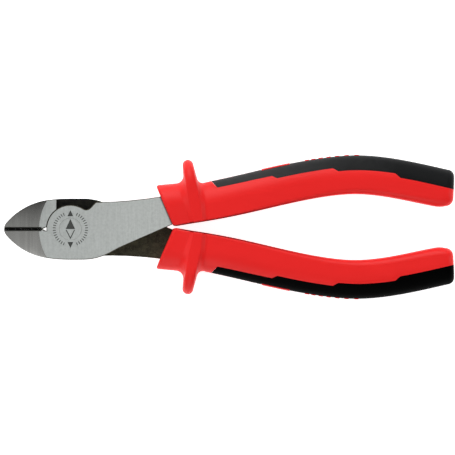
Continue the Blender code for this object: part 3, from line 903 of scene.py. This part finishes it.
def forged_steel(name, shaded_joint):
    """Oxide-dark forged surfaces, mottled brown, worn a little lighter. The joint may be darkened
    with painted shade.
    """
    nodes = Nodes(name)
    nodes.set(Metallic=0.35, Specular_IOR_Level=0.2)
    coarse = nodes.noise(420, 4.0, 0.65)
    fine = nodes.noise(1900, 4.0, 0.7)
    shade = nodes.spread(coarse, 0.35, 0.65)
    dark = nodes.mix(shade, (0.023, 0.021, 0.012), (0.062, 0.057, 0.034))
    worn = nodes.mix(nodes.spread(fine, 0.56, 0.72), dark, (0.105, 0.10, 0.072))
    if shaded_joint:
        # painted shade: the lap faces near the joint are darkened as if in shadow
        joint_shade = nodes.mix(shade, (0.0008, 0.0009, 0.0006), (0.011, 0.011, 0.007))
        worn = nodes.mix(nodes.spread(nodes.axis("X"), *JOINT_SHADE_SPAN), joint_shade, worn)
    nodes.colour(worn)
    nodes.roughness(nodes.spread(fine, 0.3, 0.7, 0.62, 0.45))
    nodes.bump(nodes.math("ADD", coarse, nodes.math("MULTIPLY", fine, 0.4)), 0.0001, 0.5)
    return nodes.material


def shaded_groove_steel():
    """The groove and relief beside the cutting edges, dark with painted shade, black at the edges
    as painted shadow.
    """
    nodes = Nodes("shaded_groove_steel")
    nodes.set(Metallic=0.3, Specular_IOR_Level=0.3)
    grain = nodes.noise(2200, 3.0, 0.6, (1, 0.2, 0.2))
    shade = nodes.spread(grain, 0.35, 0.65)
    mouth = nodes.mix(shade, (0.07, 0.07, 0.064), (0.10, 0.101, 0.093))
    # painted shade: the groove goes black at the cutting edges, as if in shadow
    aside = nodes.spread(nodes.size(nodes.axis("Y")), *GROOVE_FADE)
    nodes.colour(nodes.mix(aside, (0.001, 0.001, 0.001), mouth))
    nodes.roughness(nodes.spread(grain, 0.3, 0.7, 0.5, 0.38))
    nodes.bump(grain, 0.00002, 0.4)
    return nodes.material


def etched_mark():
    """The dark laser-etched ornament."""
    nodes = Nodes("etched_mark")
    nodes.set(Metallic=0.2)
    grain = nodes.noise(5000, 3.0, 0.6)
    shade = nodes.spread(grain, 0.35, 0.65)
    nodes.colour(nodes.mix(shade, (0.02, 0.022, 0.02), (0.07, 0.075, 0.07)))
    nodes.roughness(nodes.spread(grain, 0.3, 0.7, 0.7, 0.55))
    nodes.bump(grain, 0.00001, 0.3)
    return nodes.material


def red_plastic():
    """Hard moulded plastic: spark-eroded texture, faint flow clouds, painted shade along the palm
    edges.
    """
    nodes = Nodes("red_plastic")
    nodes.set(IOR=1.5, Specular_IOR_Level=0.24)
    grain = nodes.noise(2600, 3.0, 0.6)
    clouds = nodes.noise(70, 2.0, 0.5, (0.4, 1, 1))
    shade = nodes.spread(clouds, 0.35, 0.65)
    base_tone = nodes.mix(shade, (0.77, 0.0085, 0.0075), (0.81, 0.0105, 0.0095))
    # painted shade: the palm side's rounded corners darken towards the head, as if in shadow
    side = nodes.math("SIGN", nodes.axis("Y"), 0.0)
    outwards = nodes.math("MULTIPLY", side, nodes.axis("Y", nodes.facing))
    palm = nodes.spread(outwards, -0.3, -0.55)
    level = nodes.size(nodes.axis("Z", nodes.facing))
    corner = nodes.math("MULTIPLY", nodes.spread(level, 0.9, 0.5), nodes.spread(level, 0.08, 0.25))
    fore = nodes.spread(nodes.axis("X"), *PALM_SHADE_SPAN)
    palm_shade = nodes.math("MULTIPLY", nodes.math("MULTIPLY", palm, corner), fore)
    nodes.colour(nodes.mix(palm_shade, base_tone, (0.02, 0.0008, 0.0008)))
    nodes.roughness(nodes.spread(grain, 0.3, 0.7, 0.50, 0.40))
    nodes.bump(grain, 0.00003, 0.22)
    return nodes.material


def soft_plastic(name, fore, rear, gloss):
    """Matt rubbery pad, from one grey near the guard to another at the grip's end, the greys and
    gloss being painted light.
    """
    nodes = Nodes(name)
    nodes.set(IOR=1.48, Specular_IOR_Level=gloss)
    grain = nodes.noise(1900, 4.0, 0.65)
    bloom = nodes.noise(90, 3.0, 0.55)
    # painted light: the pad is lighter near the guard, as if lit there
    uneven = nodes.spread(bloom, 0.3, 0.7, -PAD_FADE_WANDER, PAD_FADE_WANDER)
    shade = nodes.spread(nodes.math("ADD", nodes.axis("X"), uneven), *PAD_FADE)
    fore_grey = (fore, fore * 1.03, fore * 1.04)
    rear_grey = (rear, rear * 1.08, rear * 1.15)
    nodes.colour(nodes.mix(shade, fore_grey, rear_grey))
    nodes.roughness(nodes.spread(grain, 0.3, 0.7, 0.56, 0.44))
    nodes.bump(grain, 0.00005, 0.35)
    return nodes.material


def floor_paper():
    """Pale paper, lit a little from behind like a light table."""
    nodes = Nodes("floor_paper")
    nodes.set(Roughness=0.9, Specular_IOR_Level=0.0, Emission_Strength=FLOOR_GLOW)
    nodes.set(Emission_Color=WHITE)
    fibres = nodes.spread(nodes.noise(700, 3.0, 0.6), 0.3, 0.7)
    nodes.colour(nodes.mix(fibres, (0.885, 0.885, 0.885), (0.915, 0.915, 0.915)))
    return nodes.material


# Dressing.

def lever_faces(obj, steels):
    """Give each face of a lever the finish of the operation that made it."""
    mesh = obj.data
    mesh.materials.clear()
    for steel in steels:
        mesh.materials.append(steel)
    satin, brushed, forged, lap, groove_shade = range(len(steels))
    grind_facing = math.cos(math.atan(GRIND_SLOPE))
    for face in mesh.polygons:
        x, y, z = (value / MM for value in face.center)
        across, up = abs(face.normal.y), abs(face.normal.z)
        reach = math.hypot(x - GRIND_CENTRE_X, y)
        flat = up > FLAT_FACING
        on_cone = abs(up - grind_facing) < GRIND_FACING_FIT and reach > GRIND_RADIUS - PLACE_FIT
        near_edge = x < ROOT_X + PLACE_FIT and abs(y) < EDGE_REACH and across > EDGE_FACING
        sloping = up > SLOPE_FACING or abs(y) < LAND_REACH
        if flat and abs(z) > HALF - PLACE_FIT:
            face.material_index = satin
        elif on_cone:
            face.material_index = brushed
        elif near_edge and sloping:
            face.material_index = groove_shade
        elif flat and abs(z) < SEAM:
            face.material_index = lap
        else:
            face.material_index = forged


def smooth(obj, angle):
    obj.data.shade_smooth()
    obj.data.set_sharp_from_angle(angle=math.radians(angle))


def dress(obj, material):
    obj.data.materials.clear()
    obj.data.materials.append(material)


def settle(obj, node, body):
    """Put a finished piece at the pivot's height, attach it to its body and hide the CAD part it
    replaces, if any.
    """
    obj.data.transform(Matrix.Translation((0, 0, PIVOT_Z)))
    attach(obj, body)
    if node:
        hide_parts(node)


def main():
    """Make, dress and hand over every piece."""
    satin = satin_steel()
    steels = [satin, brushed_steel(), forged_steel("forged_steel", shaded_joint=False),
              forged_steel("lap_steel", shaded_joint=True), shaded_groove_steel()]
    red = red_plastic()
    for side, arm, body in (("front", FRONT_ARM, "front_half"), ("rear", REAR_ARM, "rear_half")):
        lever = make_lever(side + "_lever_forging", arm, turned_over=side == "rear")
        lever_faces(lever, steels)
        smooth(lever, CREASES["lever"])
        settle(lever, side + "_lever", body)
    pin = rivet("rivet", 0.0)
    dress(pin, satin)
    smooth(pin, CREASES["rivet"])
    settle(pin, "pivot_rivet", "rear_half")
    ink = etched_mark()
    for marks, body in ((ring_marks(), "front_half"), (rhombus_marks(), "rear_half")):
        dress(marks, ink)
        settle(marks, None, body)
    for side, arm, body in (("upper", FRONT_ARM, "front_half"), ("lower", REAR_ARM, "rear_half")):
        lift = GRIP_LIFT if side == "upper" else -GRIP_LIFT
        core = make_grip_core(side + "_core", arm, lift)
        pad = make_grip_pad(side + "_pad", lift)
        # painted light: the upper pad gets lit greys and gloss, the lower pad shaded ones
        soft = soft_plastic(side + "_soft_plastic", *PAD_LIT_AND_SHADED_TONES[side])
        for piece, material, slot in ((core, red, "red_plastic"), (pad, soft, "dark_soft_plastic")):
            if side == "lower":
                half_turned(piece)
            dress(piece, material)
            smooth(piece, CREASES["grip"])
            kind = "core" if piece is core else "pad"
            settle(piece, f"{side}_grip_{kind}", body)


def make_floor():
    """A disc of paper out to the horizon, just under the tool."""
    mesh_data = bmesh.new()
    bmesh.ops.create_circle(mesh_data, cap_ends=True, segments=FLOOR_SEGMENTS, radius=FLOOR_RADIUS)
    mesh = bpy.data.meshes.new("floor")
    mesh_data.to_mesh(mesh)
    mesh_data.free()
    floor = bpy.data.objects.new("floor", mesh)
    bpy.context.scene.collection.objects.link(floor)
    floor.location.z = CAD_BOX[0][2] - FLOOR_DROP
    mesh.materials.append(floor_paper())


def fill_light(name, spot):
    """A weak square light, turned towards the tool's middle."""
    light = bpy.data.lights.new(name, "AREA")
    light.shape = "SQUARE"
    light.size = FILL_SIZE
    light.energy = FILL_POWER
    obj = bpy.data.objects.new(name, light)
    obj.location = spot
    obj.rotation_euler = (Vector(FILL_AIM) - Vector(spot)).to_track_quat("-Z", "Y").to_euler()
    bpy.context.scene.collection.objects.link(obj)


def direction(azimuth, tilt):
    """A unit vector leaning so many degrees from straight up, towards an azimuth from +X."""
    turn = math.radians(azimuth)
    lean = math.radians(tilt)
    return (math.sin(lean) * math.cos(turn), math.sin(lean) * math.sin(turn), math.cos(lean))


def make_world():
    """A dim room, white below a pale horizon, with round soft patches of light overhead."""
    world = bpy.data.worlds.new("studio")
    bpy.context.scene.world = world
    world.use_nodes = True
    tree = world.node_tree
    coords = tree.nodes.new("ShaderNodeTexCoord").outputs["Generated"]

    def ramp(source, low, high, first, last):
        node = tree.nodes.new("ShaderNodeMapRange")
        node.interpolation_type = "SMOOTHSTEP"
        limits = {"From Min": low, "From Max": high, "To Min": first, "To Max": last}
        for name, value in limits.items():
            if isinstance(value, (int, float)):
                node.inputs[name].default_value = value
            else:
                tree.links.new(value, node.inputs[name])
        tree.links.new(source, node.inputs["Value"])
        return node.outputs["Result"]

    def toward(vector):
        node = tree.nodes.new("ShaderNodeVectorMath")
        node.operation = "DOT_PRODUCT"
        tree.links.new(coords, node.inputs[0])
        node.inputs[1].default_value = vector
        return node.outputs["Value"]

    near_glow = HORIZON_GLOW * NEAR_GLOW_SHARE
    horizon = ramp(toward((0, 1, 0)), *NEAR_TO_FAR, near_glow, HORIZON_GLOW)
    lower_half = ramp(toward((0, 0, 1)), *FLOOR_BAND, 1.0, horizon)
    total = ramp(toward((0, 0, 1)), *HORIZON_BAND, lower_half, ROOM_GLOW)
    for azimuth, tilt, inner, outer, strength in SKY_PATCHES:
        near = math.cos(math.radians(inner))
        far = math.cos(math.radians(outer))
        patch = ramp(toward(direction(azimuth, tilt)), far, near, 0.0, strength)
        add = tree.nodes.new("ShaderNodeMath")
        tree.links.new(total, add.inputs[0])
        tree.links.new(patch, add.inputs[1])
        total = add.outputs["Value"]
    background = tree.nodes["Background"]
    background.inputs["Color"].default_value = WHITE
    tree.links.new(total, background.inputs["Strength"])


def make_camera():
    """A long lens looking straight down, from where the frame spans the view's width."""
    data = bpy.data.cameras.new("camera")
    data.sensor_width = SENSOR_WIDTH
    data.lens = LENS
    data.clip_start, data.clip_end = CLIP_RANGE
    camera = bpy.data.objects.new("camera", data)
    distance = VIEW_WIDTH * LENS / SENSOR_WIDTH
    camera.location = (*VIEW_CENTRE, PIVOT_Z + distance)
    bpy.context.scene.collection.objects.link(camera)
    bpy.context.scene.camera = camera


main()
make_floor()
make_world()
for light_name, light_spot in FILL_SPOTS.items():
    fill_light(light_name, light_spot)
make_camera()
bpy.context.scene.view_settings.view_transform = "Standard"
